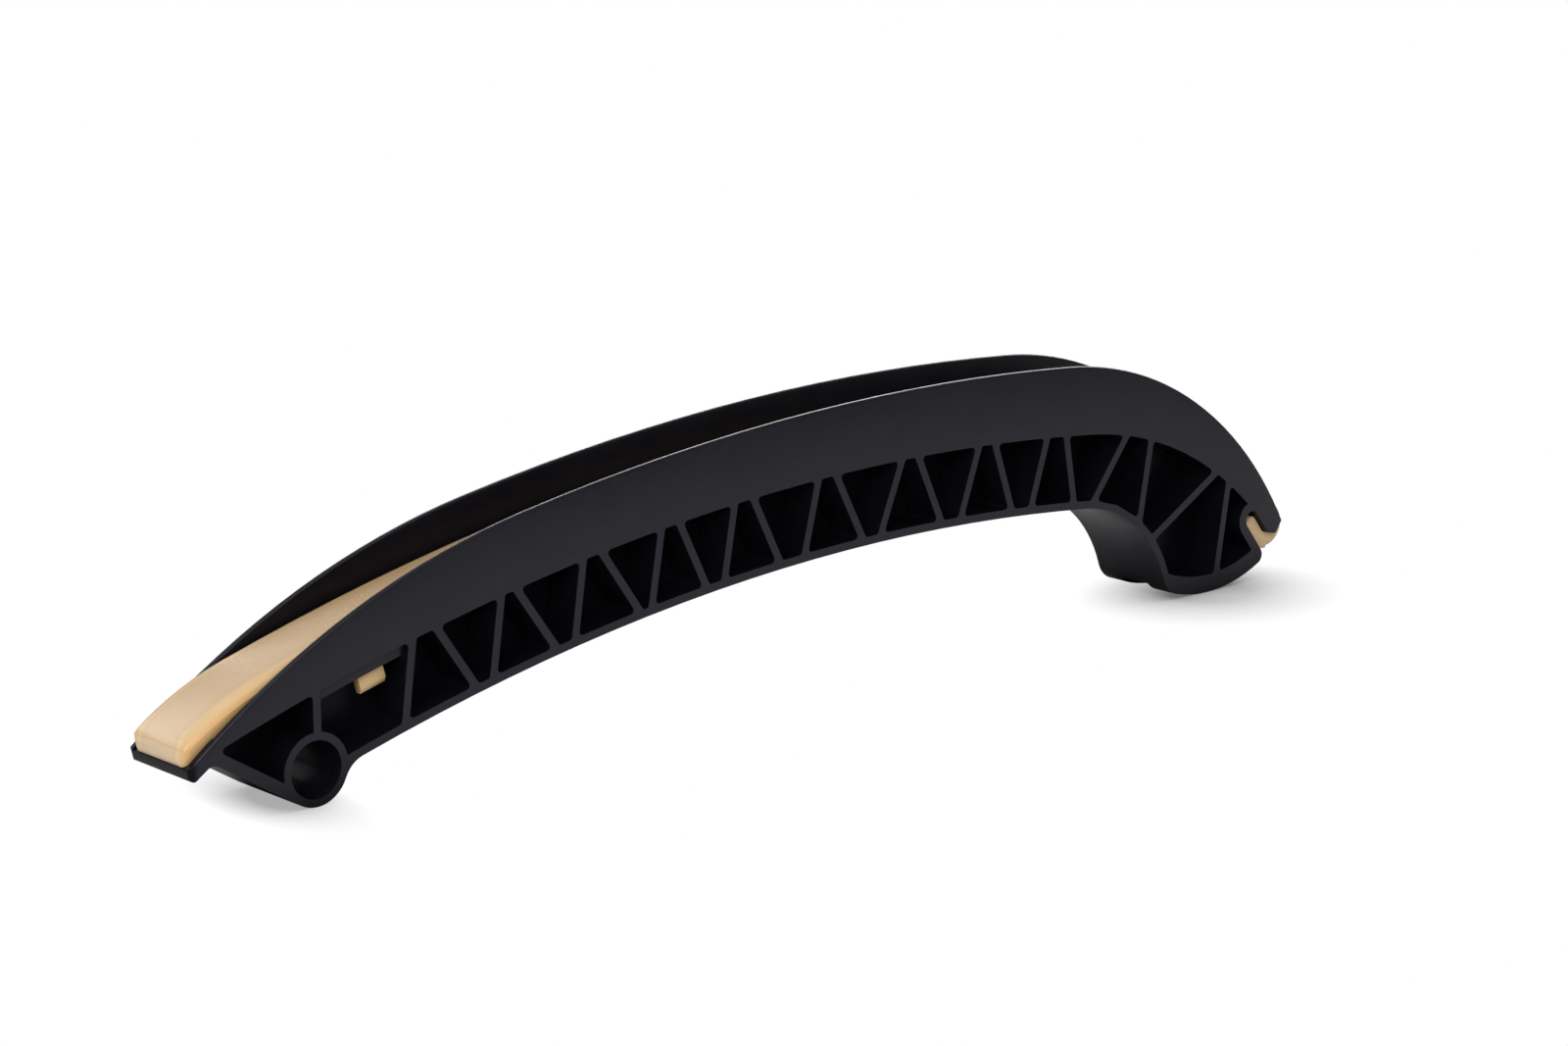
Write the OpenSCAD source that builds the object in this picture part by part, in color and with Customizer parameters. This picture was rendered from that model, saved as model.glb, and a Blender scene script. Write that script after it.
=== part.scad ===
// Timing chain guide: a black ribbed carrier with a clipped-on cream slide shoe.
// X runs from the pivot to the foot, Y along the pivot axis, Z up. The origin is the middle of the pivot bore.

/* [Beam] */
// Width of the carrier along the pivot axis
width = 20; // [18:0.5:24]
// Radius of the arched underside
arch_r = 512; // [490:1:540]
// Distance from the pivot to the crown of the arch
arch_x = 151.5; // [149:0.5:154]
// Height of the arched underside's line over the pivot's axis
arch_low = -2.43; // [-3:0.01:-1.5]
// Thickness of the wall along the underside
skin_t = 1.7; // [1.2:0.1:2.4]
// Height of the rib pockets
pocket_h = 14.5; // [13:0.1:16]
// Thickness of the channel floor that carries the shoe
floor_t = 3.5; // [2.5:0.1:4.5]
// Thickness of the middle web between the pockets of the two sides
web_t = 2; // [1.4:0.1:4]
// Thickness of the ribs
rib_t = 1.7; // [1.2:0.1:2.4]
// Radius in the corners of the pockets
pocket_corner_r = 0.8; // [0.3:0.1:1.2]
// Radius on the corners of the side outline
outline_corner_r = 0.8; // [0.2:0.1:1.2]

/* [Flanges] */
// Thickness of the two side flanges
flange_t = 1.4; // [1.2:0.1:2.4]
// Height of the flange over the shoe at the crown
flange_h = 7.5; // [6.5:0.1:9]
// Distance of the flange's crown beyond the crown of the arch
flange_offset = 5.5; // [4:0.5:7]
// How much larger the radius of the flange's long middle stretch is than the shoe's
flange_flatter = 40.9; // [25:0.1:65]
// Distance from the flange's crown back to where its run-down to the lip starts
flange_lip_run = 108; // [100:0.5:120]
// Distance from the flange's crown on to where its run-down to the finger starts
flange_foot_run = 39.5; // [35:0.5:45]
// Height of the flange over the floor at the lip's end
flange_end_h = 0.4; // [0.3:0.1:1.5]
// Height of the flange over the floor at the finger's nose
finger_cover = 0.4; // [0.3:0.1:1]
// Radius along the flange's upper edges
flange_edge_r = 0.5; // [0.2:0.1:0.6]
// Distance from the lip's end to where the rounding of the flange's inner edge starts
lip_edge_run = 6; // [4:0.5:9]

/* [Pivot] */
// Diameter of the pivot bore
pivot_d = 10.2; // [8:0.1:11]
// Widening of the tapered mouth at each face
mouth_flare = 0.5; // [0.2:0.1:0.9]
// Depth of the tapered mouth
mouth_depth = 1.6; // [0.6:0.1:3]
// Thickness of the boss round the bore
boss_wall = 2.05; // [1.6:0.05:3]
// Radius of the fillet between the boss and the underside
boss_fillet_r = 6; // [4:0.5:8]
// Slope of the brace from the boss to the lip
brace_angle = 32; // [30:0.5:34]
// Thickness of the brace
brace_t = 2.4; // [1.8:0.1:3]
// Offset of the rib over the boss from the pivot
boss_rib_x = 0.5; // [-1:0.1:2]

/* [Lip] */
// Distance from the pivot back to the end of the lip
lip_reach = 27.5; // [26:0.5:29]
// Thickness of the lip
lip_t = 2.4; // [1.8:0.1:3]
// Radius of the channel floor where it runs down to the lip
lip_floor_r = 88; // [84:1:102]
// Angle before the crown at which the run-down to the lip starts
lip_bend = 16.7; // [16.2:0.1:17.2]
// Lean of the lip's end face
lip_lean = 14; // [5:1:25]
// Radius on the lip's corners seen from above
lip_corner_r = 1.2; // [0.5:0.1:2.5]
// Radius of the fillet between the lip and the brace
notch_r = 2; // [1:0.1:3]

/* [Foot] */
// Angle past the crown at which the bend to the foot starts
foot_bend = 5.7; // [5.5:0.1:5.9]
// Distance from the foot's lowest line on to the slot's round end
foot_back = 14.76; // [12:0.01:18]
// Radius of the foot's bottom
foot_r = 39; // [36:0.5:42]
// Thickness of the foot's wall
foot_t = 4; // [3:0.1:5]
// Radius of the hollow in front of the foot
hollow_r = 29; // [28:0.5:30]
// Radius of the foot's rounded heel
heel_r = 6; // [5:0.5:7]
// How much tighter the pocket ceiling bends over the foot than the floor above it
ceiling_tighter = 4.1; // [2:0.1:6]
// Width of the shallow relief in the middle of the foot's bottom
relief_w = 8; // [4:0.5:11]
// Depth of that relief
relief_depth = 1.1; // [0.4:0.1:2]

/* [Slot and finger] */
// Angle of the bend over the foot at which the slot ends
slot_at = 45.7; // [44:0.1:48]
// Thickness of the finger over the slot's round end
finger_t = 4.1; // [3.8:0.1:4.4]
// Width of the slot
slot_w = 4; // [3.6:0.1:4.4]
// Tilt of the slot into the foot, off the run of the bend
slot_tilt = 7.7; // [5:0.1:10]
// Thickness of the wall round the slot
slot_wall = 2.2; // [1.6:0.1:2.6]
// Reach of the finger beyond the slot's round end
finger_reach = 8.4; // [7.8:0.1:8.8]
// Length of the bevel on the slot's side of the finger
bevel_run = 2; // [1:0.1:2.6]
// Height of that bevel
bevel_rise = 1.6; // [0.8:0.1:2]
// Setback of the finger's outer corner
nose_setback = 0.9; // [0.4:0.1:1.4]
// Radius on the lip below the slot's mouth
slot_lip_r = 2; // [1:0.1:3]

/* [Slide shoe] */
// Thickness of the shoe
shoe_t = 3.4; // [3:0.1:4]
// Angle before the crown at which the run-in starts
run_in_bend = 17.45; // [16.5:0.05:18.5]
// Thickness of the shoe at its end over the lip
run_in_t = 4.7; // [4:0.1:5.5]
// Radius of the bend over the foot
shoe_bend_r = 94.4; // [88:0.2:104]
// How much tighter the shoe bends over the foot than the floor below it, so that it thins to the hook
bend_taper = 2; // [0:0.1:3]
// Setback of the shoe's end from the lip's end
shoe_setback = 0.3; // [0:0.1:1.5]
// Width of the rounded strip along each side of the running face
shoe_edge_w = 2.4; // [1.5:0.1:4]
// Drop of that strip at its outer edge
shoe_edge_drop = 1.6; // [0.3:0.1:2]
// Radius over the shoe's end
shoe_end_r = 5.2; // [0.8:0.1:5.4]
// Radius on the corners of the shoe's end seen from above
shoe_corner_r = 1.6; // [0.8:0.1:3.5]
// Outer radius of the hook round the finger
hook_r = 5.4; // [5.2:0.1:5.8]
// Angle of the bend from the slot's round end on to the start of the hook
hook_lead = 4.5; // [4:0.1:5.5]
// Radius that the band leaves free in the middle of the hook
hook_core = 0.54; // [0.4:0.02:0.8]
// Angle through which the hook turns
hook_turn = 141; // [130:1:150]
// Play of the hook's leg across the slot
leg_play = 0.6; // [0.3:0.1:1.2]
// Distance of the leg's end from the middle of the slot's round end
leg_inset = 0.8; // [0.2:0.1:2]
// Radius on the corners of the leg's end
leg_corner_r = 1; // [0.3:0.1:1.1]
// Gap between the shoe and the flanges, and beside its tabs
side_gap = 0.15; // [0.1:0.05:0.4]
// Gap between the shoe and what it sits on
seat_gap = 0.1; // [0.05:0.05:0.2]

/* [Snap tabs] */
// Distance from a tab to the upper end of the first rib
tab_gap = 4.15; // [3:0.05:6]
// Width of the tabs
tab_w = 6; // [5:0.5:8]
// Thickness of a tab's neck
tab_t = 1.3; // [1:0.1:2]
// Step of the barb that catches under the ledge
barb = 0.7; // [0.4:0.1:1]
// Reach of the tab below the ledge
tab_reach = 4.2; // [3:0.1:5]
// Height of the slanted end that leads the barb in
lead_in = 1.2; // [0.6:0.1:2]
// Distance of the tab's neck from the middle plane
tab_y = 5.2; // [4:0.1:5.6]
// Height of the ledge under the floor that the tabs catch on
ledge_h = 2.3; // [1.5:0.1:3]
// Setback of the ledge from the carrier's side face
ledge_setback = 1.2; // [0.6:0.1:2]
// Height of the slit between the ledge and the floor
slit_h = 0.5; // [0.3:0.1:0.8]
// Depth of that slit from the carrier's side face
slit_depth = 2.6; // [2.2:0.1:2.8]

/* [Ejector marks] */
// Diameter of the round marks on the web
mark_d = 4.6; // [2:0.1:5]
// Height of the marks
mark_h = 0.3; // [0.1:0.1:0.6]
// Inset of a mark's middle from the pocket's corner
mark_inset = 3.6; // [3:0.1:4.5]

/* [Hidden] */
$fn = 96;

carrier_colour = [0.10, 0.10, 0.115];
shoe_colour = [0.87, 0.76, 0.60];

// Ribs from left to right as [upper end, lower end], each as the distance past the crown of the arch
rib_ends = [
    [-129.1, -131.1], [-123.6, -114.7], [-108.2, -110.4], [-104.6, -95.3], [-88.3, -90.5], [-83.7, -74.4],
    [-68.7, -71.3], [-64.1, -57.3], [-49.8, -52.5], [-44.9, -37.9], [-27.4, -31.1], [-22.6, -15.2],
    [-4.2, -10.1], [0.4, 7], [17.9, 12.8], [22.6, 27.7], [38.2, 33.6], [44, 46.6],
    [62.8, 52.8], [70.5, 67.4], [91.8, 71.9], [96, 92.7]
];
ribs = [for (r = rib_ends) [arch_x + r[0], arch_x + r[1]]];

// Largest distance between an arc and the straight steps that follow it
sag = 0.02;
// Smallest turn at a point that counts as a corner
corner_turn = 30;
// Steps of a full turn for wide turned shapes
wide_steps = 720;
// Room that a cutting shape takes beyond the surface it cuts
past = 1;
// Reach of shapes that clear everything above or below the channel floor
clear = 60;

boss_r = pivot_d / 2 + boss_wall;
ground_z = -boss_r;
lip_x = -lip_reach;
half_w = width / 2;
channel_half = half_w - flange_t;
shoe_half = channel_half - side_gap;

// Points and arcs in the side plane
function polar(a) = [cos(a), sin(a)];
function unit(v) = v / norm(v);
function left_of(v) = [-v[1], v[0]];
function angle_of(c, p) = atan2(p[1] - c[1], p[0] - c[0]);
function short_turn(a) = a > 180 ? a - 360 : a < -180 ? a + 360 : a;
function reach(c, p, r) = c + r * unit(p - c);
function steps(r, a) = max(1, ceil(abs(a) / (2 * acos(1 - sag / r))));
function sweep(c, r, a0, a) = let (n = steps(r, a)) [for (i = [0:n]) c + r * polar(a0 + a * i / n)];
function arc(c, p, q) = sweep(c, norm(p - c), angle_of(c, p), short_turn(angle_of(c, q) - angle_of(c, p)));
// A stretch of a way along an arc, as points with the direction that points outwards there
function way(c, r, a0, a1) =
    let (n = steps(r, a1 - a0))
    [for (i = [0:n]) let (u = polar(a0 + (a1 - a0) * i / n)) [c + r * u, u]];
// The same without its first point, to continue another stretch
function way_on(c, r, a0, a1) = let (w = way(c, r, a0, a1)) [for (i = [1:len(w) - 1]) w[i]];
// Where the line from o along d crosses a circle: the far crossing for far = 1, the near one for far = -1
function hit(o, d, c, r, far = 1) =
    let (b = d * (o - c), k = (o - c) * (o - c) - r * r)
    o + d * (far * sqrt(b * b - k) - b);
// Crossing of two circles, on the left of the way from the first centre to the second for side = 1
function meet(c, r, e, s, side) =
    let (d = norm(e - c), a = (d * d + r * r - s * s) / (2 * d), u = unit(e - c))
    c + a * u + side * sqrt(r * r - a * a) * left_of(u);
// Centre of a smaller arc that continues a larger one smoothly at an angle
function inner_centre(c, r, a, small) = c + (r - small) * polar(a);
// Radius of an arc that continues a circle smoothly at an angle and then runs through p
function through_r(c, r, a, p) = let (d = p - c - r * polar(a)) -(d * d) / (2 * d * polar(a));
// Point of a circle over x, on its upper half for side = 1
function on(c, r, x, side = 1) = [x, c[1] + side * sqrt(r * r - (x - c[0]) * (x - c[0]))];
// An outline without repeated points
function clean(p) = [for (i = [0:len(p) - 1]) if (norm(p[i] - p[(i + 1) % len(p)]) > sag) p[i]];
// A closed outline with its corners rounded
function rounded(q, r) =
    let (p = clean(q), n = len(p))
    [for (i = [0:n - 1])
        let (
            back = p[(i + n - 1) % n] - p[i],
            on_way = p[(i + 1) % n] - p[i],
            half = acos(max(-1, min(1, unit(back) * unit(on_way)))) / 2,
            cut = min(r / tan(half), norm(back) / 2, norm(on_way) / 2),
            c = p[i] + unit(unit(back) + unit(on_way)) * cut / cos(half)
        )
        each (half > 90 - corner_turn / 2
            ? [p[i]]
            : arc(c, p[i] + unit(back) * cut, p[i] + unit(on_way) * cut))];

// The arch: one centre for the underside, pockets, floor and shoe
arch = [arch_x, arch_low - sqrt(arch_r * arch_r - arch_x * arch_x)];
low_r = arch_r + skin_t;
ceiling_r = low_r + pocket_h;
floor_r = ceiling_r + floor_t;
shoe_r = floor_r + shoe_t;
bend_a = 90 - foot_bend;
lip_a = 90 + lip_bend;
run_in_a = 90 + run_in_bend;

// Bends over the foot and at the lip
hollow = inner_centre(arch, arch_r, bend_a, hollow_r);
hollow_low_r = hollow_r + skin_t;
shoe_bend = inner_centre(arch, shoe_r, bend_a, shoe_bend_r);
floor_bend_r = shoe_bend_r + bend_taper - shoe_t;
floor_bend = inner_centre(arch, floor_r, bend_a, floor_bend_r);
ceiling_bend_r = floor_bend_r - floor_t - ceiling_tighter;
ceiling_bend = inner_centre(arch, ceiling_r, bend_a, ceiling_bend_r);
lip_floor = inner_centre(arch, floor_r, lip_a, lip_floor_r);
lip_end = on(lip_floor, lip_floor_r, lip_x);
run_in_r = through_r(arch, shoe_r, run_in_a, lip_end + [0, run_in_t]);
run_in = inner_centre(arch, shoe_r, run_in_a, run_in_r);

// Slot frame: down runs to the mouth, out runs through the finger
slot_r = slot_w / 2;
slot_angle = 90 - slot_at + slot_tilt;
slot_end = floor_bend + (floor_bend_r - finger_t - slot_r) * polar(slot_at);
down = polar(-slot_angle);
out = polar(90 - slot_angle);
function in_slot(p, q) = slot_end + p * down + q * out;
bevel_at = finger_reach - bevel_run;
tip_out = slot_r + bevel_rise;
finger_tip = in_slot(finger_reach, tip_out);
finger_nose = hit(in_slot(finger_reach - nose_setback, 0), out, floor_bend, floor_bend_r);
finger_top = finger_nose + finger_cover * unit(finger_nose - finger_tip);

// Flange: long middle stretch and its two run-downs, which end over the lip and over the finger's nose
lip_top = lip_end + [0, flange_end_h];
flange_r = shoe_r + flange_flatter;
flange = [arch_x + flange_offset, arch[1] + shoe_r + flange_h - flange_r];
flange_lip_a = acos(-flange_lip_run / flange_r);
flange_foot_a = acos(flange_foot_run / flange_r);
flange_lip_r = through_r(flange, flange_r, flange_lip_a, lip_top);
flange_lip = inner_centre(flange, flange_r, flange_lip_a, flange_lip_r);
flange_foot_r = through_r(flange, flange_r, flange_foot_a, finger_top);
flange_foot = inner_centre(flange, flange_r, flange_foot_a, flange_foot_r);

// Foot
foot_x = slot_end[0] - foot_back;
foot = [foot_x, ground_z + foot_r];
heel = meet(hollow, hollow_r + heel_r, foot, foot_r - heel_r, -1);
slot_lip = hit(in_slot(0, -slot_r - slot_lip_r), down, foot, foot_r - slot_lip_r);
foot_pocket_r = foot_r - foot_t;
pocket_heel = meet(hollow, hollow_low_r, foot, foot_pocket_r, -1);

// Boss, brace and lip
pivot = [0, 0];
boss_fillet = meet(pivot, boss_r + boss_fillet_r, arch, arch_r - boss_fillet_r, 1);
brace_out = polar(-90 - brace_angle);
brace_up = polar(180 - brace_angle);
lip_under_r = lip_floor_r - lip_t;
notch = hit((boss_r + notch_r) * brace_out, brace_up, lip_floor, lip_under_r - notch_r);
end_down = polar(lip_lean - 90);
end_out = polar(180 + lip_lean);
lip_low = hit(lip_top, end_down, lip_floor, lip_under_r, -1);

// Upper line of the flange from an x at the lip to an angle at the finger
function flange_way(x, a) = concat(
    way(flange_lip, flange_lip_r, angle_of(flange_lip, on(flange_lip, flange_lip_r, x)), flange_lip_a),
    way_on(flange, flange_r, flange_lip_a, flange_foot_a),
    way_on(flange_foot, flange_foot_r, flange_foot_a, a)
);

// Side outline of the carrier with its flanges
function carrier_outline() = rounded(
    concat(
        [for (s = flange_way(lip_x, angle_of(flange_foot, finger_top))) s[0]],
        [finger_tip, in_slot(bevel_at, slot_r)],
        sweep(slot_end, slot_r, 90 - slot_angle, 180),
        arc(slot_lip, slot_lip + slot_lip_r * out, reach(foot, slot_lip, foot_r)),
        arc(foot, reach(foot, slot_lip, foot_r), reach(foot, heel, foot_r)),
        arc(heel, reach(foot, heel, foot_r), reach(hollow, heel, hollow_r)),
        arc(hollow, reach(hollow, heel, hollow_r), hollow + hollow_r * polar(bend_a)),
        arc(arch, arch + arch_r * polar(bend_a), reach(arch, boss_fillet, arch_r)),
        arc(boss_fillet, reach(arch, boss_fillet, arch_r), reach(pivot, boss_fillet, boss_r)),
        arc(pivot, reach(pivot, boss_fillet, boss_r), boss_r * brace_out),
        arc(notch, notch - notch_r * brace_out, reach(lip_floor, notch, lip_under_r)),
        arc(lip_floor, reach(lip_floor, notch, lip_under_r), lip_low)
    ),
    outline_corner_r);

// Line of the channel floor from the lip to the finger, lifted by a gap and carried on by an angle
function floor_line(gap = 0, on_by = 0) =
    let (
        end_a = angle_of(lip_floor, on(lip_floor, lip_floor_r + gap, lip_x)),
        nose_a = angle_of(floor_bend, finger_nose) - on_by,
        line = concat(
            way(lip_floor, lip_floor_r + gap, end_a, lip_a),
            way_on(arch, floor_r + gap, lip_a, bend_a),
            way_on(floor_bend, floor_bend_r + gap, bend_a, nose_a)
        )
    )
    [for (s = line) s[0]];

function channel_outline() =
    let (line = floor_line(0, past), first = line[0], last = line[len(line) - 1])
    concat(
        [first - [clear, 0]],
        line,
        [last + [clear, 0], last + [clear, clear], first + [-clear, clear]]
    );

// Circles that bound the pockets, as centre and radius
function over(x) = x < arch[0] + ceiling_r * cos(bend_a) ? [arch, ceiling_r] : [ceiling_bend, ceiling_bend_r];
function under(x) = x < arch[0] + low_r * cos(bend_a) ? [arch, low_r] : [hollow, hollow_low_r];
function in_foot(x) = x > hollow[0] + hollow_low_r;
function over_point(x) = on(over(x)[0], over(x)[1], x);
function under_point(x) = on(under(x)[0], under(x)[1], x);

// Lower and upper end of one side of a rib, on its right for side = 1
function rib_side(rib, side) =
    let (
        footed = in_foot(rib[1]),
        high = over(rib[0]),
        low = footed ? [foot, foot_pocket_r] : under(rib[1]),
        top = on(high[0], high[1], rib[0]),
        base = on(low[0], low[1], rib[1], footed ? -1 : 1),
        up = unit(top - base),
        shift = -side * rib_t / 2 * left_of(up)
    )
    [hit(top + shift, -up, low[0], low[1], footed ? 1 : -1), hit(base + shift, up, high[0], high[1])];

// Points between two places along the upper and lower edge of the pockets
function over_points(x0, x1, n = 4) = [for (i = [1:n - 1]) over_point(x0 + (x1 - x0) * i / n)];
function under_points(x0, x1, n = 2) = [for (i = [1:n - 1]) under_point(x0 + (x1 - x0) * i / n)];

// Lower edge of a bay: the last one runs from the hollow into the foot
function bay_base(l, r) =
    in_foot(r[0])
    ? concat(arc(hollow, l, pocket_heel), arc(foot, pocket_heel, r))
    : concat([l], under_points(l[0], r[0]), [r]);

// Outline of the pocket between two neighbouring ribs
function bay(left, right) =
    let (l = rib_side(left, 1), r = rib_side(right, -1))
    rounded(concat(bay_base(l[0], r[0]), [r[1]], over_points(r[1][0], l[1][0]), [l[1]]), pocket_corner_r);

// Outline of the pocket between the brace and the rib over the boss
function brace_pocket() =
    let (
        base = (boss_r - brace_t) * brace_out,
        apex = hit(base, brace_up, arch, ceiling_r),
        wall_x = boss_rib_x - rib_t / 2
    )
    rounded(
        concat([base, apex], over_points(apex[0], wall_x), [over_point(wall_x), [wall_x, 0]]),
        pocket_corner_r);

// Outline of the pocket between the rib over the boss and the first rib, with its ceiling lowered
function tab_pocket(lowered = 0) =
    let (
        wall_x = boss_rib_x + rib_t / 2,
        r = rib_side(ribs[0], -1),
        top = hit(r[0], unit(r[1] - r[0]), arch, ceiling_r - lowered),
        wall_top = on(arch, ceiling_r - lowered, wall_x)
    )
    rounded(
        concat(
            [[wall_x, 0]],
            arc(arch, wall_top, top),
            [r[0]],
            under_points(r[0][0], boss_r, 4),
            [under_point(boss_r / 2)]
        ),
        pocket_corner_r);

// Outline of the pocket between the last rib and the wall round the slot
function end_pocket() =
    let (l = rib_side(ribs[len(ribs) - 1], 1), end_x = slot_end[0])
    rounded(
        concat(
            arc(foot, l[0], on(foot, foot_pocket_r, end_x, -1)),
            [over_point(end_x)],
            over_points(end_x, l[1][0]),
            [l[1]]
        ),
        pocket_corner_r);

// Side outline of the space under the shoe: the floor and the finger, with the gap round them
function seat_outline() =
    let (line = floor_line(seat_gap), first = line[0])
    concat(
        [first - [clear, 0]],
        line,
        [finger_nose + seat_gap * (out + down), finger_tip + seat_gap * down],
        [in_slot(bevel_at, slot_r - seat_gap), in_slot(bevel_at, -clear), first - [clear, clear]]
    );

// Section of the shoe across its length, with rounded upper edges, as [height over the running face, Y]
function shoe_section() = concat(
    [[-hook_wall, -shoe_half]],
    sweep([-shoe_edge_r, shoe_edge_w - shoe_half], shoe_edge_r, -shoe_edge_a, shoe_edge_a),
    sweep([-shoe_edge_r, shoe_half - shoe_edge_w], shoe_edge_r, 0, shoe_edge_a),
    [[-hook_wall, shoe_half]]
);
// Line of the running face from before the shoe's end over the crown and round the hook
function shoe_way() = concat(
    way(run_in, run_in_r, angle_of(run_in, on(run_in, run_in_r, lip_x - hook_r)), run_in_a),
    way_on(arch, shoe_r, run_in_a, bend_a),
    way_on(shoe_bend, shoe_bend_r, bend_a, hook_at),
    way_on(hook, hook_r, hook_at, hook_at - hook_turn)
);
shoe_edge_r = (shoe_edge_w * shoe_edge_w + shoe_edge_drop * shoe_edge_drop) / (2 * shoe_edge_drop);
shoe_edge_a = asin(shoe_edge_w / shoe_edge_r);
hook_at = angle_of(shoe_bend, floor_bend + floor_bend_r * polar(slot_at - hook_lead));
hook = inner_centre(shoe_bend, shoe_bend_r, hook_at, hook_r);
// Depth of the band before the space under the shoe is cut from it
hook_wall = hook_r - hook_core;
// A point on the shoe's end face and the middle of the radius over that end
shoe_end = lip_top - shoe_setback * end_out;
shoe_end_mid = hit(shoe_end - shoe_end_r * end_out, -end_down, run_in, run_in_r - shoe_end_r);
leg_t = slot_w - leg_play;
leg_out = slot_r - seat_gap;
leg_in = leg_out - leg_t;

// Radii of the tabs about the arch
ledge_r = ceiling_r - ledge_h;
barb_r = ledge_r - seat_gap;
tab_low_r = barb_r - tab_reach;
tab_x = ribs[0][0] - rib_t / 2 - tab_gap - tab_w / 2;
tab_a = acos((tab_x - arch_x) / ledge_r);

// Section of the edge that is cut away along a flange on the far side of y,
// just below the line's straight steps
function edge_section(y) =
    let (top = -1.5 * sag)
    concat(
        [[top - flange_edge_r, y + past]],
        sweep([top - flange_edge_r, y - flange_edge_r], flange_edge_r, 90, -90),
        [[past, y - flange_edge_r], [past, y + past]]
    );

// A slab across the guide from one Y to another, with its outline in the side plane
module slab(from_y, to_y) {
    translate([0, to_y, 0])
        rotate([90, 0, 0])
            linear_extrude(to_y - from_y)
                children();
}

// A section carried along a way
module swept(line, section) {
    n = len(section);
    last = (len(line) - 1) * n;
    points = [for (s = line, k = section) let (p = s[0] + k[0] * s[1]) [p[0], k[1], p[1]]];
    sides = [for (i = [0:n:last - n], j = [0:n - 1]) [i + j, i + (j + 1) % n, i + n + (j + 1) % n, i + n + j]];
    ends = [[for (j = [n - 1:-1:0]) j], [for (j = [0:n - 1]) last + j]];
    polyhedron(points, concat(sides, ends));
}

module both_sides() {
    children();
    mirror([0, 1, 0])
        children();
}

module slot_surround() {
    r = slot_r + slot_wall;
    translate(slot_end)
        circle(r);
    translate(slot_end)
        rotate(-slot_angle)
            translate([0, -r])
                square([2 * finger_reach, 2 * r]);
}

module pockets() {
    for (i = [0:len(ribs) - 2])
        polygon(bay(ribs[i], ribs[i + 1]));
    difference() {
        polygon(brace_pocket());
        circle(boss_r);
    }
    difference() {
        polygon(end_pocket());
        slot_surround();
    }
}

// The pocket with the snap tabs: full height at the face, lower behind it where the ledge is,
// with a slit left over the ledge
module tab_pocket_cut() {
    slab(-half_w - past, ledge_setback - half_w)
        difference() {
            polygon(tab_pocket());
            circle(boss_r);
        }
    slab(-half_w - past, -web_t / 2)
        difference() {
            polygon(tab_pocket(ledge_h));
            circle(boss_r);
        }
    slab(-half_w - past, slit_depth - half_w)
        difference() {
            polygon(tab_pocket());
            translate(arch)
                circle(ceiling_r - slit_h, $fn = wide_steps);
        }
}

// Local frame of the tabs: X along the arch, Z along the radius
module in_tab_frame() {
    translate([arch[0], 0, arch[1]])
        rotate([0, 90 - tab_a, 0])
            children();
}

// Window through ledge and floor with room for the tab to bend while it is pressed in
module tab_window() {
    in_tab_frame()
        translate([-tab_w / 2 - side_gap, -tab_y - tab_t - seat_gap, ledge_r - past])
            cube([tab_w + 2 * side_gap, tab_t + barb + 2 * seat_gap, floor_r - ledge_r + 2 * past]);
}

module bore() {
    rotate([90, 0, 0])
        cylinder(h = width + 2 * past, d = pivot_d, center = true);
    both_sides()
        translate([0, -half_w, 0])
            rotate([-90, 0, 0])
                cylinder(h = mouth_depth, d1 = pivot_d + 2 * mouth_flare, d2 = pivot_d);
}

module foot_relief() {
    slab(-relief_w / 2, relief_w / 2)
        difference() {
            translate([foot_x - foot_r / 2, ground_z - past])
                square([foot_r, foot_t]);
            translate(foot)
                circle(foot_r - relief_depth, $fn = wide_steps);
        }
}

// Rounding along the upper edges of a flange: outside to its ends, inside as far as it stands over the floor
module flange_edges() {
    nose_a = angle_of(flange_foot, finger_top);
    swept(flange_way(lip_x - past, nose_a - past), edge_section(half_w));
    swept(flange_way(lip_x + lip_edge_run, nose_a + 2 * past), edge_section(-channel_half));
}

// What is cut from an upright corner at the lip's end to round it
module end_corner(place, side_y, r) {
    translate([place[0], -side_y, place[1]])
        rotate([0, -lip_lean, 0])
            linear_extrude(clear, center = true)
                difference() {
                    translate([-past, -past])
                        square(r + past);
                    translate([r, r])
                        circle(r);
                }
}

// Round marks on the web, in the pockets that are wide at the top
module ejector_marks() {
    for (i = [1:2:len(ribs) - 5]) {
        corner = rib_side(ribs[i], 1)[1];
        translate([corner[0] + mark_inset, 0, corner[1] - mark_inset])
            rotate([90, 0, 0])
                cylinder(h = web_t + 2 * mark_h, d = mark_d, center = true);
    }
}

module carrier() {
    color(carrier_colour)
        union() {
            difference() {
                slab(-half_w, half_w)
                    polygon(carrier_outline());
                slab(-channel_half, channel_half)
                    polygon(channel_outline());
                both_sides() {
                    slab(-half_w - past, -web_t / 2)
                        pockets();
                    tab_pocket_cut();
                    tab_window();
                    flange_edges();
                    end_corner(lip_top, half_w, lip_corner_r);
                }
                bore();
                foot_relief();
            }
            ejector_marks();
        }
}

// What is cut from the band beyond the shoe's end face and the radius over it
module shoe_end_cut() {
    rise = unit(shoe_end_mid - run_in);
    edge = shoe_end_mid + shoe_end_r * end_out;
    slab(-shoe_half - past, shoe_half + past)
        difference() {
            polygon([
                shoe_end_mid,
                shoe_end_mid + clear * rise,
                shoe_end_mid + clear * (rise + end_out),
                edge + clear * (end_out + end_down),
                edge + clear * end_down,
                edge
            ]);
            translate(shoe_end_mid)
                circle(shoe_end_r);
        }
    both_sides()
        end_corner(shoe_end, shoe_half, shoe_corner_r);
}

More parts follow.
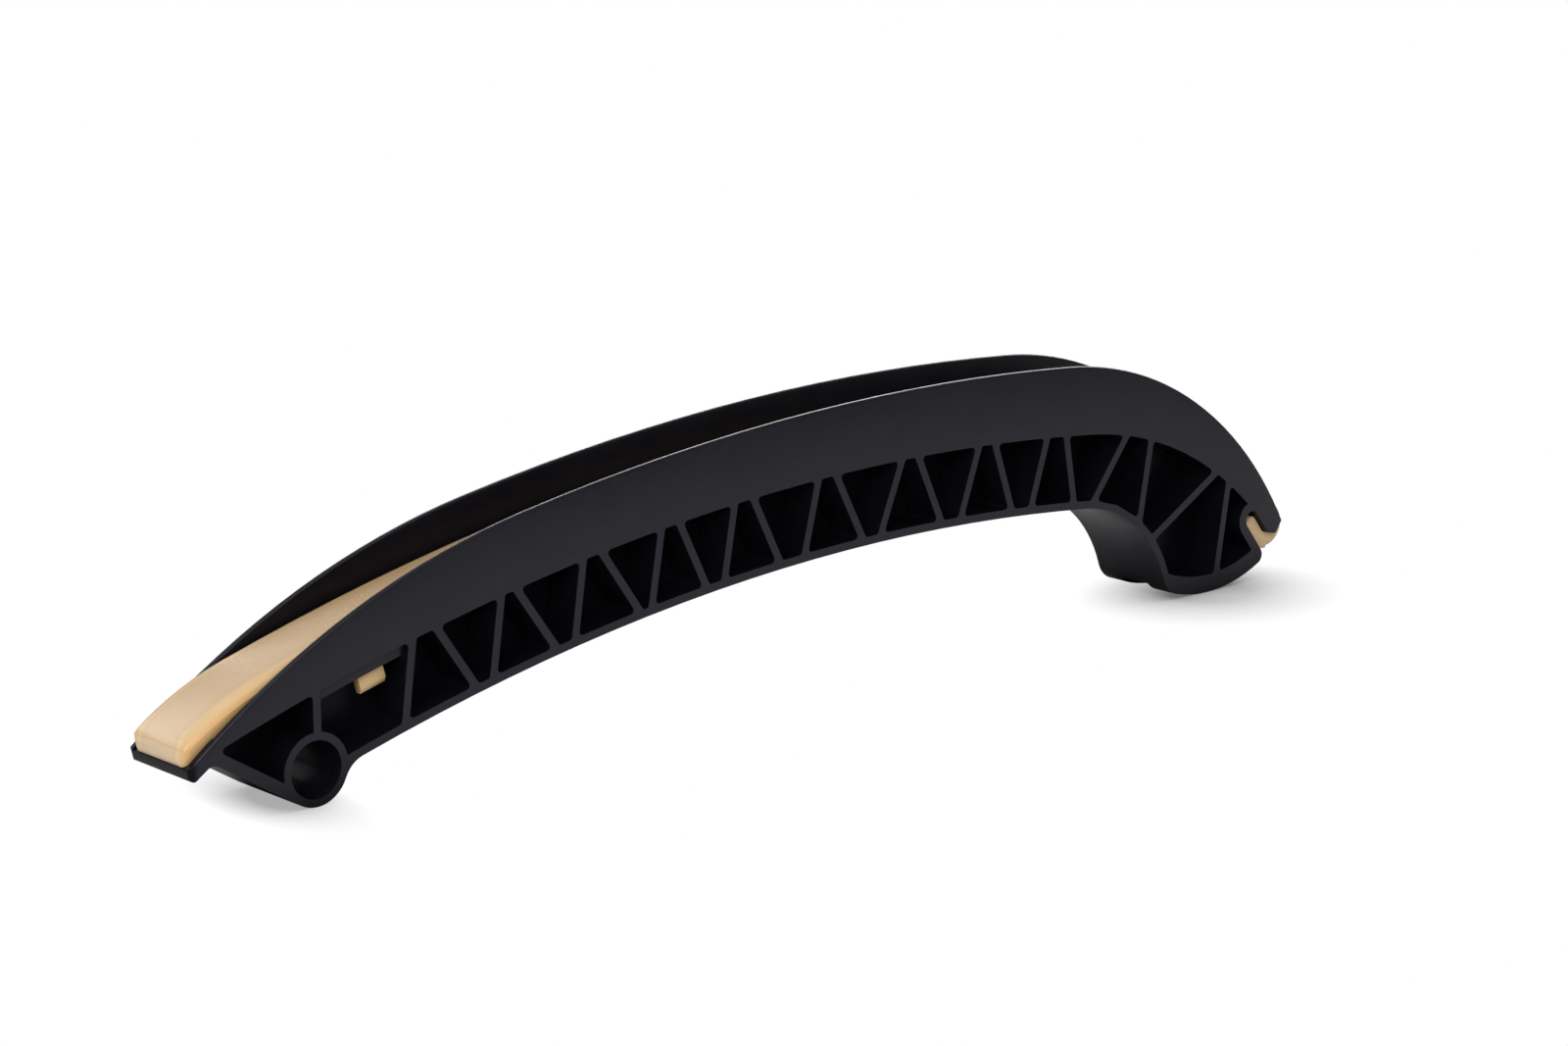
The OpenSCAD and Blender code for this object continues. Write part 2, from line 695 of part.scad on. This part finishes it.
// The leg in the slot and the foot of the hook that joins it to the band
module shoe_leg() {
    root = bevel_at - leg_corner_r;
    slab(-shoe_half, shoe_half) {
        polygon(rounded(
            [
                in_slot(bevel_at, leg_in),
                in_slot(leg_inset, leg_in),
                in_slot(leg_inset, leg_out),
                in_slot(bevel_at, leg_out)
            ],
            leg_corner_r));
        polygon([
            hook + hook_r * polar(hook_at - hook_turn),
            in_slot(finger_reach, leg_in),
            in_slot(root, leg_in),
            in_slot(root, leg_out),
            in_slot(bevel_at, leg_out),
            finger_tip + seat_gap * down
        ]);
    }
}

// A snap tab with its barb outwards and a slanted end
module snap_tab() {
    neck_y = -tab_y - tab_t;
    in_tab_frame()
        rotate([90, 0, 90])
            linear_extrude(tab_w, center = true)
                polygon([
                    [-tab_y, floor_r + shoe_t / 2],
                    [neck_y, floor_r + shoe_t / 2],
                    [neck_y, barb_r],
                    [neck_y - barb, barb_r],
                    [neck_y - barb, tab_low_r + lead_in],
                    [neck_y, tab_low_r],
                    [-tab_y, tab_low_r]
                ]);
}

module slide_shoe() {
    color(shoe_colour)
        union() {
            difference() {
                swept(shoe_way(), shoe_section());
                slab(-half_w, half_w)
                    polygon(seat_outline());
                shoe_end_cut();
            }
            shoe_leg();
            both_sides()
                snap_tab();
        }
}

carrier();
slide_shoe();
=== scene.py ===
import math

import bpy
from mathutils import Matrix, Vector


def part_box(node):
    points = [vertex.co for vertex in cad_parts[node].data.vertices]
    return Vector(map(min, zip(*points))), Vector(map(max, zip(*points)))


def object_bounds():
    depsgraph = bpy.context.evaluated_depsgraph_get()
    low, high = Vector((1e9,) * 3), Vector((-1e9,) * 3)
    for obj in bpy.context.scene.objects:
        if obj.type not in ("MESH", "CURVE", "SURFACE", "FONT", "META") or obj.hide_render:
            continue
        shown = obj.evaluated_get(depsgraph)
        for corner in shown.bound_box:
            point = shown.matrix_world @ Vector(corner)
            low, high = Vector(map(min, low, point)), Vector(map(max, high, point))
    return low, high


MM = 0.001
WHITE = (1.0, 1.0, 1.0, 1.0)
FULL = (0.0, 1.0)

# A noise is given by scale, detail, roughness and, where it is drawn out, its stretch.
# A bump is given by height and strength, and the tones of a ramp by position and colour.

# The part of a noise's range in which most of its values lie
NOISE_RANGE = (0.3, 0.7)
# Shares of a coarse and a fine noise in the roughness of a surface
COARSE_SHARE = 0.6
FINE_SHARE = 0.4
# Rays with which a surface finds how open it is
AIR_SAMPLES = 6

# Carrier: its noises, tones and roughness
CARRIER_CLOUD = (90.0, 4.0, 0.6)
CARRIER_STREAKS = (160.0, 3.0, 0.6, (1.0, 6.0, 4.0))
CARRIER_GRAIN = (3600.0, 2.0, 0.6)
CARRIER_GRAIN_BUMP = (0.02 * MM, 0.25)
CARRIER_TONES = ((0.3, (0.0026, 0.0024, 0.0038)), (0.72, (0.0042, 0.0040, 0.0058)))
CARRIER_ROUGHNESS = (0.26, 0.38)
CARRIER_TINT = (0.86, 0.83, 1.0, 1.0)
# Painted shade in the sheen: reach of its recesses, the range of openness that is used, and the
# sheen at the ends of it, low in recesses
CARRIER_SHADE_REACH = 18.0 * MM
CARRIER_OPEN = (0.32, 0.85)
CARRIER_SHEEN = (0.04, 0.43)
# Distances from the lip's end between which the sheen rises, and its share at the ends of them
LIP_RUN = (1.0 * MM, 2.0 * MM)
LIP_SHEEN = (0.2, 1.0)

# Shoe: its noises, roughness and body
SHOE_CLOUD = (45.0, 3.0, 0.5)
SHOE_LINES = (500.0, 1.0, 0.4, (0.03, 1.0, 0.03))
SHOE_LINES_BUMP = (0.01 * MM, 0.02)
SHOE_GRAIN = (3000.0, 2.0, 0.6)
SHOE_GRAIN_BUMP = (0.006 * MM, 0.15)
SHOE_ROUGHNESS = (0.22, 0.30)
SHOE_BODY = {
    "Specular IOR Level": 0.5,
    "Subsurface Weight": 0.25,
    "Subsurface Radius": (1.0, 0.45, 0.2),
    "Subsurface Scale": 3.0 * MM,
}
# Painted light and shade from each side inwards, a darker orange edge, a lighter band and a
# darker line, the width that they take, and the tones of its cloud
SHOE_SIDE_LIGHT_AND_SHADE = (
    (0.00, (0.66, 0.40, 0.17)),
    (0.20, (0.68, 0.47, 0.23)),
    (0.45, (0.71, 0.525, 0.31)),
    (0.68, (0.640, 0.470, 0.290)),
    (0.95, (0.655, 0.480, 0.310)),
)
SHOE_SIDE_W = 5.0 * MM
SHOE_CLOUD_TONES = ((0.3, (0.95, 0.94, 0.92)), (0.7, (1.0, 1.0, 1.0)))
# One even tone at the hook, the run along X over which it comes in, and its share there
HOOK_TONE = (0.70, 0.525, 0.31, 1.0)
HOOK_RUN = (180.0 * MM, 230.0 * MM)
HOOK_SHARE = (0.0, 0.8)
# Painted shade, a deeper tone in recesses, their reach, and the range of openness over which it
# fades
PAINTED_SHADE_TONE = (0.42, 0.27, 0.12, 1.0)
SHADE_RECESS = 14.0 * MM
SHADE_OPEN = (0.5, 1.0)

# Distance within which points are joined
WELD_GAP = 0.002 * MM
# Softened edges: radius, and faces across it
EDGE_R = 0.15 * MM
EDGE_STEPS = 2
# Turns in degrees: up to which faces count as one, above which an edge can be softened,
# and above which it is shaded sharp
FLAT_TURN = 0.05
SOFT_TURN = 38.0
SHARP_TURN = 28.0

# Where the object stands on the floor: x and y, how far the shadow is kept along x and y,
# and how much white stays in it
STANDS = (
    (-3.0 * MM, -1.0 * MM, 12.0 * MM, 27.0 * MM, 0.40),
    (241.0 * MM, -11.0 * MM, 32.0 * MM, 27.0 * MM, 0.15),
)
# The part of that distance over which the shadow fades
STAND_FADE = (0.3, 1.0)
# Floor: half its length in metres, its tone, and the reach and rays of its painted contact
# shadow, a darker rim at contacts
FLOOR_HALF = 8.0
FLOOR_TONE = (0.92, 0.92, 0.92, 1.0)
FLOOR_SHADOW_REACH = 16.0 * MM
FLOOR_SHADOW_SAMPLES = 12
# Strength of the even light from all round
WORLD_STRENGTH = 0.25

# The photograph's camera, fitted to the outline of the object, with its place in millimetres
CAMERA_PLACE = (-394.6, -582.9, 209.3)
CAMERA_RIGHT = (0.7473, -0.6645, 0.0)
CAMERA_BACK = (-0.6467, -0.7274, 0.2295)
CAMERA_SENSOR = 36.0
CAMERA_LENS = 90.12
CAMERA_CLIP = (0.05, 50.0)

# Lamps: name, place, target and size in metres, and power in watts
LAMPS = (
    ("key", (-0.60, -0.75, 0.60), (0.08, 0.0, 0.03), (0.9, 0.7), 10.0),
    ("top", (-0.10, -0.10, 1.00), (0.08, 0.0, 0.02), (1.0, 0.8), 2.5),
    ("fill", (-0.35, 0.85, 0.50), (0.08, 0.0, 0.02), (0.8, 0.6), 2.5),
)
# The lamp that shows only in reflections, as the bright line along the front flange
EDGE_LAMP = ("edge", (0.88, 0.85, 0.37), (0.12, 0.0, 0.03), (1.0, 0.42), 6.0)

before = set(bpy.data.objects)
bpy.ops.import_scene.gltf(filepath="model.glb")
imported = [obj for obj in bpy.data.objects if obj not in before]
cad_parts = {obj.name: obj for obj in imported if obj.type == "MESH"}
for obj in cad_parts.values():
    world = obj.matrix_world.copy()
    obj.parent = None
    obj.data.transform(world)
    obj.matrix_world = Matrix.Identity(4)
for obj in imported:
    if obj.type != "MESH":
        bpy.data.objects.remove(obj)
cad_low, cad_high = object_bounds()
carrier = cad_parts["carrier"]
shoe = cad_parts["slide_shoe"]
ground_z = cad_low.z
middle = (cad_low + cad_high) / 2
shoe_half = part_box("slide_shoe")[1].y


class Shader:
    """A material and short ways to add nodes to it and to link them."""

    def __init__(self, name):
        self.material = bpy.data.materials.new(name)
        self.material.use_nodes = True
        self.tree = self.material.node_tree
        self.tree.nodes.clear()
        self.output = self.tree.nodes.new("ShaderNodeOutputMaterial")
        self.place = self.add("ShaderNodeTexCoord").outputs["Object"]

    def add(self, kind, **settings):
        node = self.tree.nodes.new(kind)
        for key, value in settings.items():
            setattr(node, key, value)
        return node

    def link(self, source, target):
        self.tree.links.new(source, target)

    def feed(self, target, value):
        """A link where the value is another node's output, else a constant on the socket."""
        if isinstance(value, bpy.types.NodeSocket):
            self.link(value, target)
        else:
            target.default_value = value

    def finish(self, surface):
        self.link(surface, self.output.inputs["Surface"])
        return self.material

    def axes(self):
        node = self.add("ShaderNodeSeparateXYZ")
        self.link(self.place, node.inputs["Vector"])
        return node.outputs

    def mapping(self, scale, location=(0.0, 0.0, 0.0)):
        node = self.add("ShaderNodeMapping")
        node.inputs["Scale"].default_value = scale
        node.inputs["Location"].default_value = location
        self.link(self.place, node.inputs["Vector"])
        return node.outputs["Vector"]

    def open_air(self, reach, samples=AIR_SAMPLES, colour=WHITE):
        """How open a surface is: a factor up to 1, and a colour darkened by it."""
        node = self.add("ShaderNodeAmbientOcclusion", samples=samples)
        node.inputs["Distance"].default_value = reach
        node.inputs["Color"].default_value = colour
        return node.outputs

    def noise(self, scale, detail, roughness, stretch=None):
        node = self.add("ShaderNodeTexNoise")
        node.inputs["Scale"].default_value = scale
        node.inputs["Detail"].default_value = detail
        node.inputs["Roughness"].default_value = roughness
        self.link(self.mapping(stretch) if stretch else self.place, node.inputs["Vector"])
        return node.outputs["Fac"]

    def ramp(self, factor, stops):
        node = self.add("ShaderNodeValToRGB")
        node.color_ramp.interpolation = "EASE"
        elements = node.color_ramp.elements
        while len(elements) < len(stops):
            elements.new(0.5)
        for element, (position, colour) in zip(elements, stops):
            element.position = position
            element.color = (*colour, 1.0)
        self.link(factor, node.inputs["Fac"])
        return node.outputs["Color"]

    def spread(self, factor, source, target):
        """One range of a factor turned into another, and held at the ends of it."""
        node = self.add("ShaderNodeMapRange")
        keys = ("From Min", "From Max", "To Min", "To Max")
        for key, value in zip(keys, (*source, *target)):
            node.inputs[key].default_value = value
        self.link(factor, node.inputs["Value"])
        return node.outputs["Result"]

    def calc(self, operation, *values):
        node = self.add("ShaderNodeMath", operation=operation)
        for socket, value in zip(node.inputs, values):
            self.feed(socket, value)
        return node.outputs["Value"]

    def mix(self, factor, first, second, blend_type="MIX"):
        node = self.add("ShaderNodeMix", data_type="RGBA", blend_type=blend_type)
        for key, value in (("Factor", factor), ("A", first), ("B", second)):
            self.feed(node.inputs[key], value)
        return node.outputs["Result"]

    def roughness(self, coarse, fine, limits):
        """A roughness between two limits, from a coarse and a fine noise."""
        coarse_part = self.calc("MULTIPLY", coarse, COARSE_SHARE)
        fine_part = self.calc("MULTIPLY", fine, FINE_SHARE)
        return self.spread(self.calc("ADD", coarse_part, fine_part), NOISE_RANGE, limits)

    def bump(self, height, distance, strength, below=None):
        node = self.add("ShaderNodeBump")
        node.inputs["Strength"].default_value = strength
        node.inputs["Distance"].default_value = distance
        self.link(height, node.inputs["Height"])
        if below:
            self.link(below, node.inputs["Normal"])
        return node.outputs["Normal"]


def carrier_material():
    """Black glass-filled nylon: fine moulded grain, faint flow streaks and a satin sheen.

    The sheen is cut low in recesses as painted shade, and is duller at the lip's end.
    """
    s = Shader("carrier_nylon")
    body = s.add("ShaderNodeBsdfPrincipled")
    # painted shade: the sheen is cut in recesses by how open the surface is
    sheen = s.spread(s.open_air(CARRIER_SHADE_REACH)["AO"], CARRIER_OPEN, CARRIER_SHEEN)
    lip_run = [cad_low.x + run for run in LIP_RUN]
    lip_sheen = s.spread(s.axes()["X"], lip_run, LIP_SHEEN)
    s.link(s.calc("MULTIPLY", sheen, lip_sheen), body.inputs["Specular IOR Level"])
    body.inputs["Specular Tint"].default_value = CARRIER_TINT
    cloud = s.noise(*CARRIER_CLOUD)
    streaks = s.noise(*CARRIER_STREAKS)
    grain = s.noise(*CARRIER_GRAIN)
    s.link(s.ramp(cloud, CARRIER_TONES), body.inputs["Base Color"])
    s.link(s.roughness(streaks, grain, CARRIER_ROUGHNESS), body.inputs["Roughness"])
    s.link(s.bump(grain, *CARRIER_GRAIN_BUMP), body.inputs["Normal"])
    return s.finish(body.outputs["BSDF"])


def shoe_material():
    """Cream unfilled nylon: slightly translucent, with faint cloud and lines along it.

    Painted light and shade lie across its sides, and painted shade deepens its tone in
    recesses, but not at the hook.
    """
    s = Shader("shoe_nylon")
    body = s.add("ShaderNodeBsdfPrincipled")
    for key, value in SHOE_BODY.items():
        body.inputs[key].default_value = value
    cloud = s.noise(*SHOE_CLOUD)
    lines = s.noise(*SHOE_LINES)
    grain = s.noise(*SHOE_GRAIN)
    axes = s.axes()
    across = s.calc("ABSOLUTE", axes["Y"])
    # painted light and shade across each side, faded out towards the hook
    inwards = s.spread(across, (shoe_half - SHOE_SIDE_W, shoe_half), (1.0, 0.0))
    to_hook = s.spread(axes["X"], HOOK_RUN, HOOK_SHARE)
    tone = s.mix(to_hook, s.ramp(inwards, SHOE_SIDE_LIGHT_AND_SHADE), HOOK_TONE)
    tone = s.mix(1.0, tone, s.ramp(cloud, SHOE_CLOUD_TONES), "MULTIPLY")
    # painted shade: a deeper tone in recesses, lifted at the hook
    lit = s.spread(s.open_air(SHADE_RECESS)["AO"], SHADE_OPEN, FULL)
    lit = s.calc("MAXIMUM", lit, to_hook)
    s.link(s.mix(lit, PAINTED_SHADE_TONE, tone), body.inputs["Base Color"])
    s.link(s.roughness(cloud, grain, SHOE_ROUGHNESS), body.inputs["Roughness"])
    lined = s.bump(lines, *SHOE_LINES_BUMP)
    s.link(s.bump(grain, *SHOE_GRAIN_BUMP, lined), body.inputs["Normal"])
    return s.finish(body.outputs["BSDF"])


def floor_material():
    """White floor that keeps the shadow where the object stands.

    Further out it is plain white to the camera. Near the object its tone is darkened by how
    open it is, as a painted contact shadow.
    """
    s = Shader("floor_white")
    rays = s.add("ShaderNodeLightPath").outputs
    shares = []
    for x, y, reach_x, reach_y, share in STANDS:
        offset = ((middle.x - x) / reach_x, (middle.y - y) / reach_y, 0.0)
        length = s.add("ShaderNodeVectorMath", operation="LENGTH")
        s.link(s.mapping((1.0 / reach_x, 1.0 / reach_y, 1.0), offset), length.inputs[0])
        shares.append(s.spread(length.outputs["Value"], STAND_FADE, (share, 1.0)))
    seen = s.calc("MULTIPLY", rays["Is Camera Ray"], s.calc("MINIMUM", *shares))
    seen = s.calc("MAXIMUM", seen, rays["Is Transmission Ray"])
    near = s.add("ShaderNodeBsdfDiffuse")
    # painted contact shadow: the floor's tone is darkened where it is little open
    open_air = s.open_air(FLOOR_SHADOW_REACH, FLOOR_SHADOW_SAMPLES, FLOOR_TONE)
    s.link(open_air["Color"], near.inputs["Color"])
    plain = s.add("ShaderNodeEmission")
    plain.inputs["Color"].default_value = WHITE
    both = s.add("ShaderNodeMixShader")
    s.link(seen, both.inputs["Fac"])
    s.link(near.outputs["BSDF"], both.inputs[1])
    s.link(plain.outputs["Emission"], both.inputs[2])
    return s.finish(both.outputs["Shader"])


def geometry_group(name):
    group = bpy.data.node_groups.new(name, "GeometryNodeTree")
    for way in ("INPUT", "OUTPUT"):
        group.interface.new_socket("Geometry", in_out=way, socket_type="NodeSocketGeometry")
    return group, group.nodes.new("NodeGroupInput"), group.nodes.new("NodeGroupOutput")


def welding():
    """A node group that joins the points which the surface's faces share."""
    group, start, end = geometry_group("welding")
    weld = group.nodes.new("GeometryNodeMergeByDistance")
    weld.inputs["Distance"].default_value = WELD_GAP
    group.links.new(start.outputs["Geometry"], weld.inputs["Geometry"])
    group.links.new(weld.outputs["Geometry"], end.inputs["Geometry"])
    return group


def smooth_shading():
    """A node group that shades a surface smooth, apart from its sharp edges."""
    group, start, end = geometry_group("smooth_shading")
    nodes, links = group.nodes, group.links
    smooth = nodes.new("GeometryNodeSetShadeSmooth")
    sharp = nodes.new("GeometryNodeSetShadeSmooth")
    sharp.domain = "EDGE"
    sharp.inputs["Shade Smooth"].default_value = False
    turn = nodes.new("GeometryNodeInputMeshEdgeAngle")
    limit = nodes.new("FunctionNodeCompare")
    limit.operation = "GREATER_THAN"
    limit.inputs["B"].default_value = math.radians(SHARP_TURN)
    links.new(start.outputs["Geometry"], smooth.inputs["Geometry"])
    links.new(smooth.outputs["Geometry"], sharp.inputs["Geometry"])
    links.new(turn.outputs["Unsigned Angle"], limit.inputs["A"])
    links.new(limit.outputs["Result"], sharp.inputs["Selection"])
    links.new(sharp.outputs["Geometry"], end.inputs["Geometry"])
    return group


def add_group(piece, name, group):
    piece.modifiers.new(name, "NODES").node_group = group


def soften_edges(piece):
    """Small radii on the edges, after the triangles of flat faces are joined."""
    flat = piece.modifiers.new("flat_faces", "DECIMATE")
    flat.decimate_type = "DISSOLVE"
    flat.angle_limit = math.radians(FLAT_TURN)
    bevel = piece.modifiers.new("edges", "BEVEL")
    bevel.width = EDGE_R
    bevel.segments = EDGE_STEPS
    bevel.use_clamp_overlap = False
    bevel.limit_method = "ANGLE"
    bevel.angle_limit = math.radians(SOFT_TURN)
    bevel.miter_outer = "MITER_ARC"
    add_group(piece, "edge_welding", weld_group)


def dress(piece, material, soft=False):
    """Material, smooth shading and, where they are asked for, softened edges."""
    piece.data.materials.clear()
    piece.data.materials.append(material)
    add_group(piece, "welding", weld_group)
    if soft:
        soften_edges(piece)
    add_group(piece, "smooth_shading", shade_group)


def area_light(name, place, target, size, power):
    data = bpy.data.lights.new(name, "AREA")
    data.shape = "RECTANGLE"
    data.size, data.size_y = size
    data.energy = power
    lamp = bpy.data.objects.new(name, data)
    lamp.location = place
    aim = Vector(target) - Vector(place)
    lamp.rotation_euler = aim.to_track_quat("-Z", "Y").to_euler()
    bpy.context.scene.collection.objects.link(lamp)
    return lamp


def make_lamps():
    for lamp in LAMPS:
        area_light(*lamp)
    area_light(*EDGE_LAMP).visible_diffuse = False


def make_floor():
    mesh = bpy.data.meshes.new("floor")
    half = FLOOR_HALF
    corners = [(-half, -half, 0), (half, -half, 0), (half, half, 0), (-half, half, 0)]
    mesh.from_pydata(corners, [], [(0, 1, 2, 3)])
    floor = bpy.data.objects.new("floor", mesh)
    floor.location = (middle.x, middle.y, ground_z)
    mesh.materials.append(floor_material())
    bpy.context.scene.collection.objects.link(floor)


def make_world():
    """Soft even light, and plain white to the camera."""
    world = bpy.data.worlds.new("studio")
    bpy.context.scene.world = world
    world.use_nodes = True
    nodes, links = world.node_tree.nodes, world.node_tree.links
    nodes.clear()
    output = nodes.new("ShaderNodeOutputWorld")
    soft = nodes.new("ShaderNodeBackground")
    soft.inputs["Color"].default_value = WHITE
    soft.inputs["Strength"].default_value = WORLD_STRENGTH
    plain = nodes.new("ShaderNodeBackground")
    plain.inputs["Color"].default_value = WHITE
    rays = nodes.new("ShaderNodeLightPath")
    both = nodes.new("ShaderNodeMixShader")
    links.new(rays.outputs["Is Camera Ray"], both.inputs["Fac"])
    links.new(soft.outputs["Background"], both.inputs[1])
    links.new(plain.outputs["Background"], both.inputs[2])
    links.new(both.outputs["Shader"], output.inputs["Surface"])


def make_camera():
    right = Vector(CAMERA_RIGHT).normalized()
    back = Vector(CAMERA_BACK).normalized()
    up = back.cross(right).normalized()
    right = up.cross(back).normalized()
    data = bpy.data.cameras.new("camera")
    data.sensor_fit = "HORIZONTAL"
    data.sensor_width = CAMERA_SENSOR
    data.lens = CAMERA_LENS
    data.clip_start, data.clip_end = CAMERA_CLIP
    camera = bpy.data.objects.new("camera", data)
    turn = Matrix((right, up, back)).transposed().to_4x4()
    camera.matrix_world = Matrix.Translation(Vector(CAMERA_PLACE) * MM) @ turn
    bpy.context.scene.collection.objects.link(camera)
    bpy.context.scene.camera = camera


bpy.context.scene.view_settings.view_transform = "Standard"
weld_group = welding()
shade_group = smooth_shading()
dress(carrier, carrier_material())
dress(shoe, shoe_material(), soft=True)
make_floor()
make_world()
make_camera()
make_lamps()
